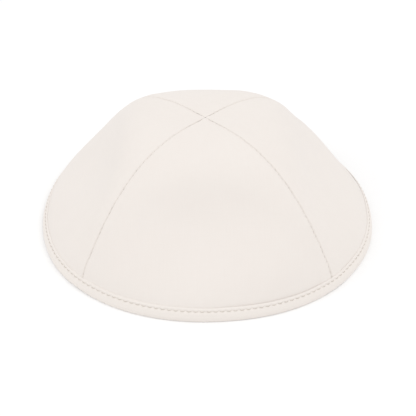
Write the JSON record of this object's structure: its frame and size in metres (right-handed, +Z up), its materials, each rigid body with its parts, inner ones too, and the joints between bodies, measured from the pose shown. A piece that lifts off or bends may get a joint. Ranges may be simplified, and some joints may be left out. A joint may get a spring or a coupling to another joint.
{
  "type": "kippah skullcap",
  "caption": "Round four-panel cloth skullcap with a soft square crown, sewn seams and a stitched band folded over its rim.",
  "frame": {"origin": "on the surface that the rim rests on, under the middle of the crown", "axes": "+Z up through the crown, the front panel's middle towards -Y, the right panel's towards +X"},
  "size_m": [0.1698, 0.1698, 0.0583],
  "materials": {
    "panel_cloth": "plain-woven off-white cotton, matt",
    "band_cloth": "plain-woven off-white cotton strip, folded and top-stitched, matt"
  },
  "bodies": {
    "root": {"front_panel": "panel_cloth", "right_panel": "panel_cloth", "back_panel": "panel_cloth", "left_panel": "panel_cloth", "rim_band": "band_cloth"}
  },
  "joints": []
}
